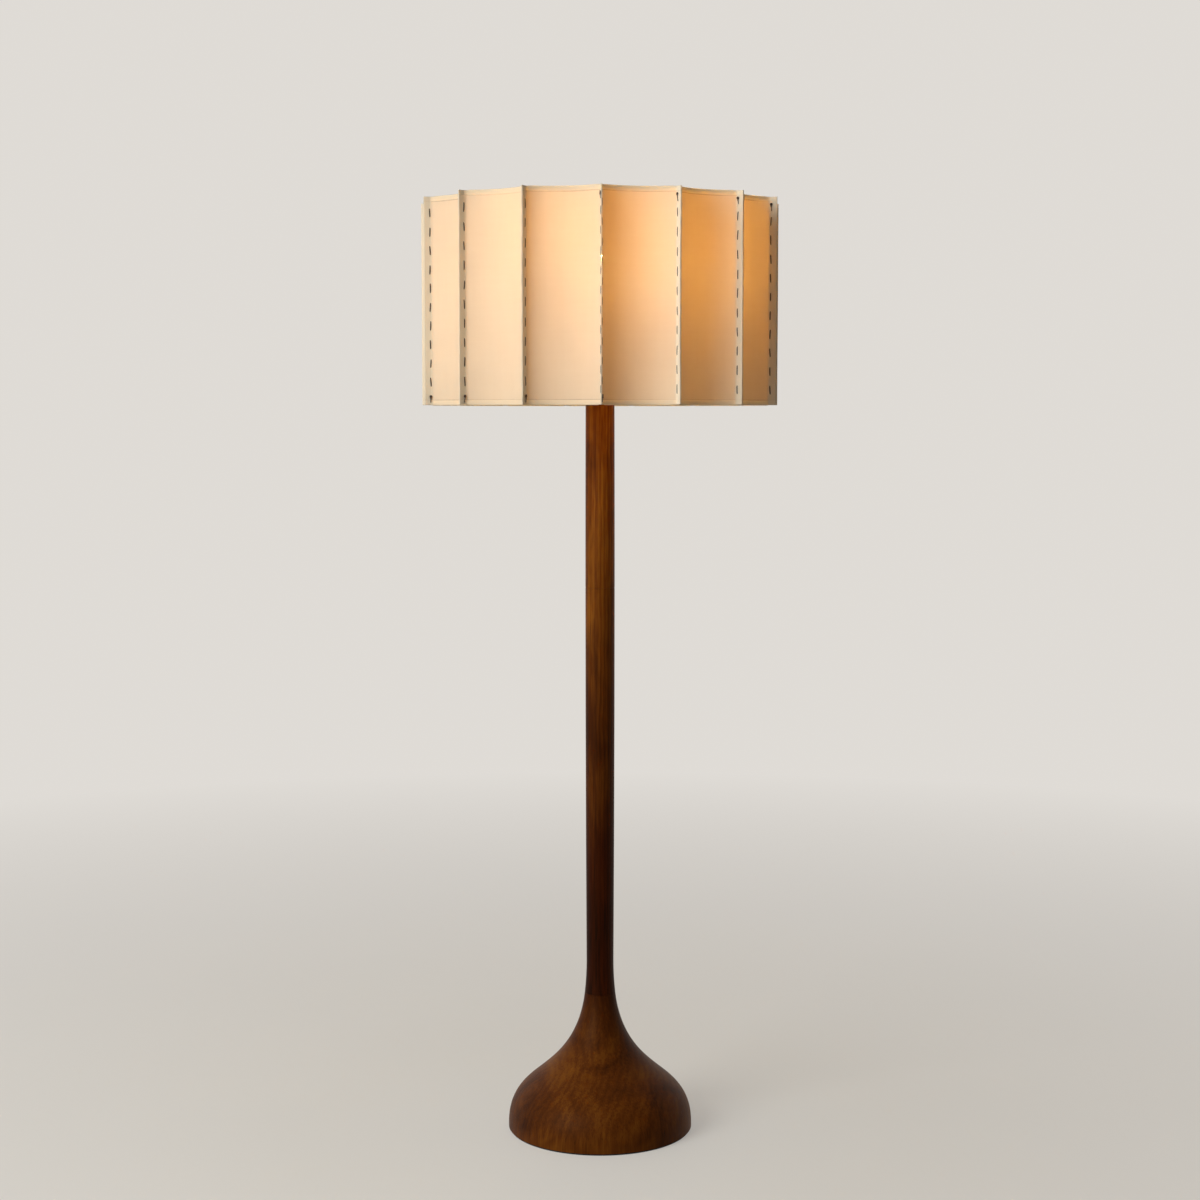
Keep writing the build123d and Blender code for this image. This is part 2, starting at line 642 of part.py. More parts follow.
def main():
    column = turned_column()
    foot = FOOT_R - PAD_INSET
    pieces = {
        "base_pad": disc(foot, 0, PAD_T),
        "base_bell": base_bell(column),
        "base_weight": base_weight(),
        "weight_screws": weight_screws(),
        "base_washer": tube(WASHER_R, PIPE_R + SCREW_GAP, RECESS_Z - WASHER_T, WASHER_T),
        "base_nut": hex_nut(NUT_FLATS, RECESS_Z - WASHER_T - NUT_T, NUT_T, PIPE_R + THREAD_GAP),
        "cord_gland": cord_gland(),
        "lower_pole": lower_pole(column),
        "upper_pole": tenoned_pole(column, POLE_JOINT_Z, POLE_TOP_Z),
        "lower_pipe": tube(PIPE_R, PIPE_BORE_R, PIPE_FOOT_Z, COUPLING_Z - PIPE_FOOT_Z),
        "pipe_coupling": tube(COUPLING_R, PIPE_R + THREAD_GAP, COUPLING_Z - COUPLING_L / 2, COUPLING_L),
        "upper_pipe": tube(PIPE_R, PIPE_BORE_R, COUPLING_Z, PIPE_TOP_Z - COUPLING_Z),
        "pole_cap": pole_cap(),
        "harp_saddle": harp_saddle(),
        "saddle_nut": hex_nut(NUT_FLATS, SADDLE_Z + SADDLE_T, SADDLE_NUT_T, PIPE_R + THREAD_GAP),
        "holder_riser": tube(RISER_R, PIPE_R + THREAD_GAP, RISER_Z, RISER_H),
        "holder_cap": holder_cap(),
        "holder_shell": holder_shell(),
        "holder_liner": holder_liner(),
        "holder_body": holder_body(),
        "screw_shell": screw_shell(),
        "centre_contact": disc(CONTACT_R, SCREW_SHELL_Z, SCREW_SHELL_WALL + CONTACT_T),
        "switch_key": switch_key(),
        "bulb_glass": bulb_glass(),
        "bulb_cap": bulb_cap(),
        "harp": harp(),
        "harp_sleeve_left": harp_sleeve(-SADDLE_SPAN / 2),
        "harp_sleeve_right": harp_sleeve(SADDLE_SPAN / 2),
        "finial": finial(),
        "spider": spider(),
        "top_ring": ring(SHADE_TOP_Z - RING_INSET - RING_H),
        "bottom_ring": ring(SHADE_Z + RING_INSET),
        "seam_lacing": seam_lacing(),
    }
    panel = shade_panel()
    for k in range(PANELS):
        pieces[f"shade_panel_{k + 1:02d}"] = Rot(0, 0, FIRST_FIN + (k + 0.5) * PITCH) * panel
    for name, piece in pieces.items():
        export_step(piece, f"parts/{name}.step")


main()
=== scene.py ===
import json
import math
import random

import bpy
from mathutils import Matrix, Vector, noise

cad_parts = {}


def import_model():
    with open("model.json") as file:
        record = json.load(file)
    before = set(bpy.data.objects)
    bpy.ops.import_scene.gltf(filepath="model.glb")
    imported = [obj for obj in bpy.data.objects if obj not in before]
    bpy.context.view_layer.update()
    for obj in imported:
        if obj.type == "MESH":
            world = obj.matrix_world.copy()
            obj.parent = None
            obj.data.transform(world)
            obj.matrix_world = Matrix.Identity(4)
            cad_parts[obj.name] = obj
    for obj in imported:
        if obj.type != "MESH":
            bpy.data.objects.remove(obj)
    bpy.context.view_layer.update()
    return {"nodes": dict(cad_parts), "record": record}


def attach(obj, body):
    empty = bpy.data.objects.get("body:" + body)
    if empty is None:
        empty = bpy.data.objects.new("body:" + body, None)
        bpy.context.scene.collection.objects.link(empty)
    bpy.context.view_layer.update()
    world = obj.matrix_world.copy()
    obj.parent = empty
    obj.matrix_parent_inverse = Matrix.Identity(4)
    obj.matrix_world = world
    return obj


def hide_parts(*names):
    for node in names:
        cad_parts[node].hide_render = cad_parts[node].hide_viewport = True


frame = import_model()

# Metres, in the frame of the solids. The sizes are those of the source.
PANELS = 15
SHADE_TOP = 1.525
SHADE_H = 0.326
SHADE_R = 0.292
FIN_W = 0.012
PANEL_HOLLOW = 0.018
SHEET_T = 0.0008
SEAM_GAP = 0.0001
HEM_H = 0.0075
FIRST_FIN = math.radians(-90 + 0.42)
STITCHES = 10
STITCH_PITCH = 0.0294
STITCH_L = 0.014
STITCH_IN = 0.0024
FIRST_STITCH = 0.0256
FAR_STITCH = 0.0385
KNOT_INSET = 0.0125

SHADE_BOTTOM = SHADE_TOP - SHADE_H
PITCH = math.radians(360 / PANELS)
HALF = PITCH / 2
CREASE_R = SHADE_R - FIN_W
FIN_T = SHEET_T + SEAM_GAP / 2
CREASE_X = CREASE_R * math.cos(HALF) + FIN_T * math.sin(HALF)
CREASE_Y = CREASE_R * math.sin(HALF) - FIN_T * math.cos(HALF)
PANEL_R = (PANEL_HOLLOW**2 + CREASE_Y**2) / (2 * PANEL_HOLLOW)
HOLLOW_X = CREASE_X - PANEL_HOLLOW + PANEL_R
CREASE_TURN = math.asin(CREASE_Y / PANEL_R)
FLAT_W = 2 * (FIN_W + PANEL_R * CREASE_TURN)

# The two faces of a fin, 1 towards the next fin and -1 towards the one before: where each row of stitches
# starts and where its knot is, both down from the top edge.
ROW_START = {1: FIRST_STITCH, -1: FAR_STITCH}
KNOT_PLACE = {1: SHADE_H - KNOT_INSET, -1: KNOT_INSET}

# How far the handwork strays
FIN_SWAY = 0.0011
FIN_CALM_H = 0.05  # height at each end of a fin where it sways less and less
FIN_GAPE = 0.00035
EDGE_STRAY = 0.0009
WALL_SLACK = 0.0016
WALL_SLACK_SPREAD = 0.0007
WALL_WAVE = 0.0006
WALL_HELD_H = 0.012  # height at each end of a wall where its ring holds it to its arc
STITCH_STRAY = 0.0006
STITCH_STRAY_IN = 0.0003

# One sheet's mesh
WALL_COLS = 30
WALL_ROWS = 20  # from the end of the lower rows to half way up
LOW_ROWS = (0, 0.0012, 0.0042, HEM_H - 0.0006, HEM_H + 0.0006, 0.011, 0.017)
FIN_COLS = (1.0, 0.93, 0.75, 0.55, 0.35, 0.18, 0.07)  # shares of the way from the crease to the fin's edge
CREASE_RUN_ON = 0.0003  # how far the wall's arc runs on into its creases
SKIN_SHARE = 0.9  # thickness of the mesh over the sheet's
# A hem in section, from the fold on: how far each row lies behind the wall, and how far back from the edge
HEM_ROWS = ((0.00045, -0.0003), (0.00088, 0.0), (0.00088, 0.004), (0.00088, HEM_H))
FOLD_L = 0.0009  # cloth that goes round the fold

# The cord of the stitches and knots. Lifts are those of its middle line over the cloth.
CORD_SIDES = 8
STITCH_HALF_W = 0.00095
STITCH_HALF_T = 0.0005
STITCH_ARCH = 0.00045  # rise of a stitch's middle over its ends
STITCH_SINK = 0.0002  # depth of its ends in the cloth
KNOT_STEPS = 40
KNOT_CORD_R = 0.0006
KNOT_OUT = 0.0004  # further out than the row of stitches
KNOT_HALF_W = 0.0015
KNOT_HALF_L = 0.0034
KNOT_HALF_T = 0.00055
KNOT_LIFT = 0.0011
TAIL_STEPS = 6
TAIL_START = 0.002  # below the knot's middle
TAIL_DROP = (0.006, 0.009)
TAIL_SWING = 0.0012
TAIL_LIFT = 0.0012
TAIL_SETTLE = 0.0006  # how much of that lift it loses on its way down
TAIL_HALF_T = 0.0005

# The bulb's centre, and the colour of its light
BULB = (0, 0, 1.442)
BULB_GLOW = (1.0, 0.65, 0.13)
BULB_LAMP_R = 0.012
BULB_DIM_Z = 1.353  # up to here the bulb is at its dimmest
BULB_BRIGHT_Z = 1.403  # and from here on at its brightest

BACKDROP = (0.74, 0.71, 0.67, 1)


def add_node(tree, kind, settings=None, **inputs):
    """A node of that kind, with settings for its own properties.

    Inputs are values or sockets to link, by name, or by number as i0, i1 and so on.
    """
    node = tree.nodes.new("ShaderNode" + kind)
    for key, value in (settings or {}).items():
        setattr(node, key, value)
    for key, value in inputs.items():
        socket = node.inputs[int(key[1:]) if key[1:].isdigit() else key.replace("_", " ")]
        if isinstance(value, bpy.types.NodeSocket):
            tree.links.new(value, socket)
        else:
            socket.default_value = value
    return node


def seen_rays(tree):
    """1 for the camera's rays, also by way of metal or glass, and 0 for those that only carry light."""
    rays = add_node(tree, "LightPath").outputs
    seen = rays["Is Camera Ray"]
    for kind in ("Is Glossy Ray", "Is Transmission Ray"):
        seen = add_node(tree, "Math", {"operation": "MAXIMUM"}, i0=seen, i1=rays[kind]).outputs[0]
    return seen


def add_object(name, data):
    thing = bpy.data.objects.new(name, data)
    bpy.context.collection.objects.link(thing)
    return thing


def smooth_mesh(name, verts, faces):
    mesh = bpy.data.meshes.new(name)
    mesh.from_pydata(verts, [], faces)
    mesh.polygons.foreach_set("use_smooth", [True] * len(mesh.polygons))
    return mesh


# Materials


class Paint:
    """A node material with one Principled shader, and short calls that add the nodes feeding it."""

    def __init__(self, name, **values):
        self.mat = bpy.data.materials.new(name)
        self.mat.use_nodes = True
        self.tree = self.mat.node_tree
        self.tree.nodes.clear()
        self.out = self.node("OutputMaterial")
        self.shader = self.node("BsdfPrincipled", **values)
        self.tree.links.new(self.shader.outputs[0], self.out.inputs["Surface"])

    def node(self, kind, settings=None, **inputs):
        return add_node(self.tree, kind, settings, **inputs)

    def place(self, scale=(1, 1, 1), shift=(0, 0, 0), source="Object"):
        """Texture coordinates, stretched and shifted."""
        coords = self.node("TexCoord").outputs[source]
        return self.node("Mapping", Vector=coords, Scale=scale, Location=shift).outputs["Vector"]

    def along(self, axis, source="Object"):
        """One of the texture coordinates."""
        return self.node("SeparateXYZ", Vector=self.node("TexCoord").outputs[source]).outputs[axis]

    def noise(self, scale, where=None, detail=2.0, rough=0.5, warp=0.0):
        """Noise from 0 to 1."""
        inputs = {"Scale": scale, "Detail": detail, "Roughness": rough, "Distortion": warp}
        return self.node("TexNoise", Vector=where or self.place(), **inputs).outputs["Fac"]

    def bands(self, axis, where, **inputs):
        """Bands of a wave from 0 to 1, across one axis or across the diagonal."""
        return self.node("TexWave", {"bands_direction": axis}, Vector=where, **inputs).outputs["Fac"]

    def ramp(self, fac, *stops):
        """Colour ramp through (position, colour) stops."""
        node = self.node("ValToRGB", Fac=fac)
        ends = node.color_ramp.elements
        while len(ends) < len(stops):
            ends.new(0.5)
        for end, (at, colour) in zip(ends, stops):
            end.position = at
            end.color = (*colour, 1)
        return node.outputs["Color"]

    def span(self, fac, low, high, to_low=0.0, to_high=1.0):
        """Maps a range of values to another, and clamps it."""
        node = self.node("MapRange", i0=fac, i1=low, i2=high, i3=to_low, i4=to_high)
        return node.outputs["Result"]

    def sum(self, a, b, kind="ADD"):
        """Sum of two values, or another operation on them."""
        return self.node("Math", {"operation": kind}, i0=a, i1=b).outputs[0]

    def times(self, a, b):
        return self.sum(a, b, "MULTIPLY")

    def off(self, value, level):
        """How far a value is from a level, either way."""
        return self.sum(self.sum(value, level, "SUBTRACT"), 0.0, "ABSOLUTE")

    def blend(self, fac, a, b, kind="MIX"):
        """Mix of two colours."""
        node = self.node("MixRGB", {"blend_type": kind}, Fac=fac, Color1=a, Color2=b)
        return node.outputs["Color"]

    def bump(self, height, strength, distance, under=None):
        """Normals from a height, on top of those of another bump."""
        node = self.node("Bump", Height=height, Strength=strength, Distance=distance)
        if under is not None:
            self.tree.links.new(under, node.inputs["Normal"])
        return node.outputs["Normal"]

    def feed(self, **inputs):
        """Links sockets to the Principled shader's inputs."""
        for key, socket in inputs.items():
            self.tree.links.new(socket, self.shader.inputs[key.replace("_", " ")])

    def mix_in(self, fac, shader):
        """Shows another shader in place of the Principled one, by that share."""
        mix = self.node("MixShader", Fac=fac, i1=self.shader.outputs[0], i2=shader.outputs[0])
        self.tree.links.new(mix.outputs[0], self.out.inputs["Surface"])


def wood(name, pith, ring, tones, mottle, shares, darker_by_height, cloud_scale, drift=(0, 0, 0)):
    """Oiled dark wood with growth rings round a pith line that runs upright beside the piece.

    tones are its dark, middle and light colour. shares are what rings, fibres and cloudy figure add to it.
    The argument given as (from, to, tint) darkens the wood by that tint at the first height and beyond it;
    past the second height it keeps its own colour.
    cloud_scale stretches the figure along the grain, and drift moves it through the piece.
    """
    p = Paint(name, Specular_IOR_Level=0.08, Specular_Tint=(1.0, 0.66, 0.38, 1))
    rings = p.node(
        "TexWave",
        {"wave_type": "RINGS", "rings_direction": "Z", "wave_profile": "SIN"},
        Vector=p.place(scale=(1, 1, 0.16), shift=pith),
        Scale=ring,
        Distortion=mottle,
        Detail=3.0,
        Detail_Scale=1.6,
        Detail_Roughness=0.6,
    ).outputs["Fac"]
    fibres = p.noise(420, p.place(scale=(1, 1, 0.025)), detail=3, rough=0.6)
    pores = p.span(p.noise(900, p.place(scale=(1, 1, 0.03)), detail=2), 0.6, 0.72)
    cloud = p.noise(11, p.place(scale=(1, 1, cloud_scale), shift=drift), detail=3, rough=0.55, warp=0.9)
    tone = p.times(rings, shares[0])
    for part, share in zip((fibres, cloud), shares[1:]):
        tone = p.sum(tone, p.times(part, share))
    dark, middle, light_tone = tones
    mean = sum(shares) / 2
    colour = p.ramp(tone, (mean - 0.17, dark), (mean, middle), (mean + 0.17, light_tone))
    colour = p.blend(p.times(pores, 0.5), colour, (*[c * 0.4 for c in dark], 1))
    # The wood is darker by height: towards the bottom on the pole, and towards the neck on the bell.
    low, high, tint = darker_by_height
    ragged = 0.9 * abs(high - low)
    level = p.sum(p.along("Z"), p.times(cloud, ragged))
    untinted_share = p.span(level, low + ragged / 2, high + ragged / 2)
    colour = p.blend(1.0, colour, p.ramp(untinted_share, (0.0, tint), (1.0, (1, 1, 1))), "MULTIPLY")
    p.feed(Base_Color=colour, Roughness=p.span(fibres, 0.3, 0.7, 0.4, 0.54))
    grain = p.bump(fibres, 0.25, 0.0004)
    p.feed(Normal=p.bump(pores, 0.35, -0.0004, grain))
    return p.mat


def metal(name, low, high, rough, stretch=(1, 1, 1)):
    """Satin metal with fine working marks and a slight change of tone."""
    p = Paint(name, Metallic=1.0)
    marks = p.noise(960, p.place(scale=stretch), detail=3, rough=0.65)
    cloud = p.noise(40, detail=3)
    p.feed(Base_Color=p.ramp(cloud, (0.3, low), (0.7, high)))
    p.feed(Roughness=p.span(p.sum(marks, cloud), 0.6, 1.4, rough - 0.09, rough + 0.12))
    p.feed(Normal=p.bump(marks, 0.12, 0.0001))
    return p.mat


def plain(name, low, high, rough, scale, bump):
    """Plastic, paint, iron, card or felt: two tones in a noise, with its grain."""
    p = Paint(name)
    grain = p.noise(scale, detail=4, rough=0.62)
    colour = p.ramp(p.noise(scale / 9, detail=3), (0.32, low), (0.68, high))
    p.feed(Base_Color=colour, Roughness=p.span(grain, 0.3, 0.7, rough - 0.08, rough + 0.08))
    p.feed(Normal=p.bump(grain, 0.4, bump))
    return p.mat


def cloth():
    """Stretched cream cloth, woven and a little slubbed, that lets the bulb's warm light through."""
    p = Paint("shade_cloth", Roughness=0.85, Specular_IOR_Level=0.2, Sheen_Weight=0.08, Sheen_Roughness=0.5)
    flat = p.place(source="UV")
    weft, warp = [p.bands(axis, flat, Scale=300, Distortion=1.2, Detail=1.0) for axis in "YX"]
    threads = p.sum(weft, warp)
    across = p.noise(70, p.place(scale=(0.12, 1.6, 1), source="UV"), detail=3, rough=0.6)
    upright = p.noise(70, p.place(scale=(1.6, 0.12, 1), source="UV"), detail=3, rough=0.6)
    slubs = p.sum(across, upright)
    tone = p.sum(p.times(slubs, 0.16), p.times(p.noise(7, detail=3), 0.5))
    tone = p.sum(tone, p.times(threads, 0.05))
    # The edge of each turned hem shows as a fine groove with a painted shadow line along it, darker both in
    # the colour it shows and in the light it lets through.
    hem_edge = SHADE_H / 2 - HEM_H
    from_middle = p.off(p.along("Y", "UV"), SHADE_H / 2)
    crease = p.span(p.off(from_middle, hem_edge), 0.0003, 0.0013, 1.0, 0.0)
    tone = p.sum(tone, p.times(crease, 0.22), "SUBTRACT")
    levels = (0.1, 0.32, 0.65)
    seen = ((0.62, 0.52, 0.39), (0.88, 0.79, 0.64), (0.93, 0.85, 0.71))
    lit = ((0.5, 0.33, 0.17), (0.86, 0.65, 0.38), (0.93, 0.74, 0.47))
    colour = p.ramp(tone, *zip(levels, seen))
    through = p.ramp(tone, *zip(levels, lit))
    # The turned hems and the fins are painted lighter than the walls between them, a painted glow for the
    # bulb's light that reaches them: paler in the colour they show and in the light they let through.
    hem = p.span(from_middle, hem_edge, hem_edge + 0.0006)
    fin_start = FLAT_W / 2 - FIN_W
    fin = p.span(p.off(p.along("X", "UV"), FLAT_W / 2), fin_start - 0.0004, fin_start + 0.0008)
    edge = p.times(p.sum(hem, fin, "MAXIMUM"), 0.7)
    colour = p.blend(edge, colour, (1.0, 0.87, 0.69, 1))
    through = p.blend(edge, through, (1.0, 0.9, 0.68, 1))
    # The hem's inner layer is the same cloth, thin where it is turned. It hardly dims the light behind it.
    turned = p.span(from_middle, SHADE_H / 2 + 0.0002, SHADE_H / 2 + 0.0012)
    through = p.blend(turned, through, (1.0, 0.97, 0.88, 1))
    normal = p.bump(threads, 0.2, 0.00012, p.bump(slubs, 0.2, 0.0004, p.bump(crease, 0.6, -0.0004)))
    p.feed(Base_Color=colour, Normal=normal)
    share = p.sum(p.span(turned, 0.0, 1.0, 0.34, 0.85), p.times(fin, 0.2), "SUBTRACT")
    p.mix_in(share, p.node("BsdfTranslucent", Color=through, Normal=normal))
    return p.mat


def lacing():
    """Dark brown waxed cord of two twisted strands."""
    p = Paint("lacing_cord")
    twist = p.bands("DIAGONAL", p.place(), Scale=260, Distortion=2.0, Detail=2.0)
    fuzz = p.noise(1500, detail=2)
    colour = p.ramp(p.times(twist, fuzz), (0.1, (0.022, 0.01, 0.006)), (0.6, (0.085, 0.04, 0.02)))
    p.feed(Base_Color=colour, Roughness=p.span(fuzz, 0.3, 0.7, 0.5, 0.72))
    p.feed(Normal=p.bump(p.sum(twist, fuzz), 0.5, 0.0003))
    return p.mat


def bulb_paint():
    """Opal glass, lit from within: the lamp inside it shines through."""
    p = Paint("opal_glass", Roughness=0.22, Coat_Weight=0.3, Coat_Roughness=0.08)
    haze = p.noise(160, detail=2)
    level = p.times(p.span(p.along("Z"), BULB_DIM_Z, BULB_BRIGHT_Z), p.span(haze, 0.3, 0.7, 0.9, 1.1))
    p.feed(Base_Color=p.ramp(haze, (0.3, (0.86, 0.82, 0.75)), (0.7, (0.93, 0.9, 0.84))))
    p.feed(Emission_Color=p.ramp(level, (0.0, (1.0, 0.42, 0.13)), (1.0, (1.0, 0.68, 0.36))))
    p.feed(Emission_Strength=p.span(level, 0.0, 1.0, 0.7, 3.2))
    p.mix_in(p.node("LightPath").outputs["Is Shadow Ray"], p.node("BsdfTransparent"))
    return p.mat


paints = {
    "foot_felt": plain("foot_felt", (0.012, 0.011, 0.01), (0.03, 0.027, 0.024), 0.9, 900, 0.0006),
    "base_wood": wood(
        "base_wood",
        pith=(0.11, 0.05, 0.0),
        ring=26,
        tones=((0.03, 0.0065, 0.0012), (0.098, 0.025, 0.003), (0.19, 0.062, 0.007)),
        mottle=8.0,
        shares=(0.05, 0.26, 0.6),
        darker_by_height=(0.235, 0.13, (0.32, 0.22, 0.2)),
        cloud_scale=0.8,
        drift=(0.6, 0.2, 0.0),
    ),
    "pole_wood": wood(
        "pole_wood",
        pith=(0.03, 0.035, 0.0),
        ring=48,
        tones=((0.042, 0.009, 0.0015), (0.14, 0.037, 0.004), (0.26, 0.087, 0.009)),
        mottle=5.0,
        shares=(0.1, 0.4, 0.62),
        darker_by_height=(0.48, 1.0, (0.22, 0.12, 0.14)),
        cloud_scale=0.35,
    ),
    "cast_weight": plain("cast_weight", (0.05, 0.05, 0.052), (0.11, 0.11, 0.115), 0.7, 500, 0.0008),
    "plain_steel": metal("plain_steel", (0.42, 0.43, 0.44), (0.6, 0.61, 0.62), 0.34),
    "gland_plastic": plain("gland_plastic", (0.02, 0.018, 0.016), (0.035, 0.03, 0.027), 0.5, 700, 0.0002),
    "satin_brass": metal("satin_brass", (0.6, 0.41, 0.16), (0.76, 0.56, 0.27), 0.3),
    "liner_card": plain("liner_card", (0.33, 0.23, 0.13), (0.45, 0.33, 0.2), 0.85, 600, 0.0003),
    "contact_brass": metal("contact_brass", (0.66, 0.48, 0.22), (0.8, 0.62, 0.34), 0.22),
    "dark_plastic": plain("dark_plastic", (0.02, 0.012, 0.008), (0.045, 0.026, 0.017), 0.28, 300, 0.0001),
    "opal_glass": bulb_paint(),
    "bulb_metal": metal("bulb_metal", (0.62, 0.62, 0.63), (0.8, 0.8, 0.81), 0.27, stretch=(1, 1, 6)),
    "frame_paint": plain("frame_paint", (0.74, 0.7, 0.62), (0.83, 0.79, 0.71), 0.4, 400, 0.0002),
    "shade_cloth": cloth(),
    "lacing_cord": lacing(),
}
for part in frame["record"]["subparts"]:
    solid = frame["nodes"][part["node"]]
    solid.data.materials.clear()
    solid.data.materials.append(paints[part["material_slot"]])


# Shade


def fin_sway(fin, z, out):
    """How far a fin leans sideways at this level, alike for both its sheets.

    out is 0 at its crease and 1 at its edge.
    """
    near_end = min(z - SHADE_BOTTOM, SHADE_TOP - z) / FIN_CALM_H
    calm = 0.35 + 0.65 * max(0.0, min(1.0, near_end))
    return FIN_SWAY * calm * out * noise.noise(Vector((fin % PANELS * 7.3, z * 9.0, 0.0)))


def fin_gape(face, z, out):
    """How far the sheet on this face of a fin stands off its seam: the most halfway between two stitches."""
    turn = (SHADE_TOP - z - ROW_START[face]) / STITCH_PITCH
    return FIN_GAPE * out * out * (0.5 - 0.5 * math.cos(2 * math.pi * turn))


def edge_lift(fin, bottom):
    """How far the end of a fin stands above or below its place, as cut by hand."""
    return EDGE_STRAY * noise.noise(Vector((fin % PANELS * 3.1 + 0.5, 40.0 + 9.0 * bottom, 2.0)))


def wall_slack(k, t, z):
    """How far a wall stands off its arc, between the rings and creases that hold it. t is -1 to 1 across."""
    half_h = SHADE_H / 2 - WALL_HELD_H
    free = max(0.0, 1 - ((z - SHADE_BOTTOM - SHADE_H / 2) / half_h) ** 2)
    wave = noise.noise(Vector((k * 5.7 + t * 1.5, z * 14.0, 1.0)))
    own = noise.noise(Vector((k * 1.9, 3.0, 0.0)))
    return free * (1 - t * t) * (WALL_SLACK + WALL_SLACK_SPREAD * own + WALL_WAVE * wave)


def plan_path():
    """One sheet's middle line in plan, fin edge to fin edge: (x, y, side, out). side is 0 for the wall."""
    wall_turn = CREASE_TURN + CREASE_RUN_ON / PANEL_R
    wall_r = PANEL_R + SHEET_T / 2
    wall = []
    for k in range(1, WALL_COLS):
        t = -1 + 2 * k / WALL_COLS
        # A little closer together near the creases
        a = wall_turn * math.sin(t * math.pi / 2) * 0.25 + wall_turn * t * 0.75
        wall.append((HOLLOW_X - wall_r * math.cos(a), wall_r * math.sin(a), 0, 0.0))
    offset = (SEAM_GAP + SHEET_T) / 2
    fin = []
    for out in FIN_COLS:
        r = CREASE_R + out * FIN_W
        x = r * math.cos(HALF) + offset * math.sin(HALF)
        y = r * math.sin(HALF) - offset * math.cos(HALF)
        fin.append((x, y, 1, out))
    before = [(x, -y, -1, out) for x, y, side, out in fin]
    return before + wall + fin[::-1]


def row_levels():
    """Levels of a sheet's rows, closer together near the two hems."""
    rest = SHADE_H / 2 - LOW_ROWS[-1]
    half = [*LOW_ROWS] + [LOW_ROWS[-1] + rest * k / WALL_ROWS for k in range(1, WALL_ROWS + 1)]
    return [SHADE_BOTTOM + h for h in half] + [SHADE_TOP - h for h in reversed(half[:-1])]


def sheet_point(k, x, y, side, out, z, depth=0.0):
    """Point of sheet k over this point of its plan, with depth behind the wall for a hem."""
    if side:
        fin = k if side < 0 else k + 1
        shift = fin_sway(fin, z, out) - side * fin_gape(-side, z, out)
        x -= side * shift * math.sin(HALF)
        y += shift * math.cos(HALF)
        up = (z - SHADE_BOTTOM) / SHADE_H
        z += out * (edge_lift(fin, 0) * up**8 + edge_lift(fin, 1) * (1 - up) ** 8)
    else:
        a = math.atan2(y, HOLLOW_X - x)
        r = PANEL_R + SHEET_T / 2 + depth - wall_slack(k, a / CREASE_TURN, z)
        x, y = HOLLOW_X - r * math.cos(a), r * math.sin(a)
    turn = FIRST_FIN + (k + 0.5) * PITCH
    return (x * math.cos(turn) - y * math.sin(turn), x * math.sin(turn) + y * math.cos(turn), z)


def shade_panel(k):
    """One sheet of the shade, with its fins and its two hems turned over to the inside."""
    path = plan_path()
    levels = row_levels()
    cols = len(path)
    lengths = [0.0]
    for a, b in zip(path, path[1:]):
        lengths.append(lengths[-1] + math.hypot(b[0] - a[0], b[1] - a[1]))

    verts, faces, flat = [], [], []
    for z in levels:
        for spot, length in zip(path, lengths):
            verts.append(sheet_point(k, *spot, z))
            flat.append((length, z - SHADE_BOTTOM))
    for row in range(len(levels) - 1):
        for col in range(cols - 1):
            a = row * cols + col
            faces.append((a, a + 1, a + 1 + cols, a + cols))
    # The hems: each runs on from the wall's edge, over and back along its inside.
    inside = [c for c in range(cols) if path[c][2] == 0][1:-1]
    for edge_row, way in ((0, 1), (len(levels) - 1, -1)):
        edge = levels[edge_row]
        last = [edge_row * cols + c for c in inside]
        for depth, back in HEM_ROWS:
            row = []
            for c in inside:
                row.append(len(verts))
                verts.append(sheet_point(k, *path[c], edge + way * back, depth))
                flat.append((lengths[c], edge - SHADE_BOTTOM - way * (back + FOLD_L)))
            for n in range(len(inside) - 1):
                quad = (last[n], last[n + 1], row[n + 1], row[n])
                faces.append(quad if way < 0 else quad[::-1])
            last = row

    name = f"shade_sheet_{k + 1:02d}"
    mesh = smooth_mesh(name, verts, faces)
    uv = mesh.uv_layers.new(name="flat")
    for loop in mesh.loops:
        uv.data[loop.index].uv = flat[loop.vertex_index]
    mesh.materials.append(paints["shade_cloth"])
    sheet = add_object(name, mesh)
    skin = sheet.modifiers.new("thickness", "SOLIDIFY")
    skin.thickness = SHEET_T * SKIN_SHARE
    skin.offset = 0.0
    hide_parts(f"shade_panel_{k + 1:02d}")
    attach(sheet, "shade")


def add_strand(verts, faces, points, across, sizes):
    """Adds a closed strand through the points. sizes are its half width and half thickness at each."""
    sides = CORD_SIDES
    start = len(verts)
    for i, (point, (wide, thick)) in enumerate(zip(points, sizes)):
        before = points[max(i - 1, 0)]
        after = points[min(i + 1, len(points) - 1)]
        along = (after - before).normalized()
        out = along.cross(across).normalized()
        side = out.cross(along)
        for s in range(sides):
            a = 2 * math.pi * s / sides
            verts.append(point + side * wide * math.cos(a) + out * thick * math.sin(a))
    for i in range(len(points) - 1):
        for s in range(sides):
            a = start + i * sides + s
            b = start + i * sides + (s + 1) % sides
            faces.append((a, b, b + sides, a + sides))
    faces.append(tuple(start + s for s in reversed(range(sides))))
    end = start + (len(points) - 1) * sides
    faces.append(tuple(end + s for s in range(sides)))


def fin_axes(fin):
    """The directions out along a fin and square to its faces."""
    turn = FIRST_FIN + fin * PITCH
    return Vector((math.cos(turn), math.sin(turn), 0)), Vector((-math.sin(turn), math.cos(turn), 0))


def on_fin(fin, face, r, z, height):
    """Point above one face of a fin, at this radius and level, and this high off its cloth."""
    radial, tangent = fin_axes(fin)
    out = (r - CREASE_R) / FIN_W
    off_seam = FIN_T + fin_gape(face, z, out) + height
    return radial * r + tangent * (fin_sway(fin, z, out) + face * off_seam) + Vector((0, 0, z))


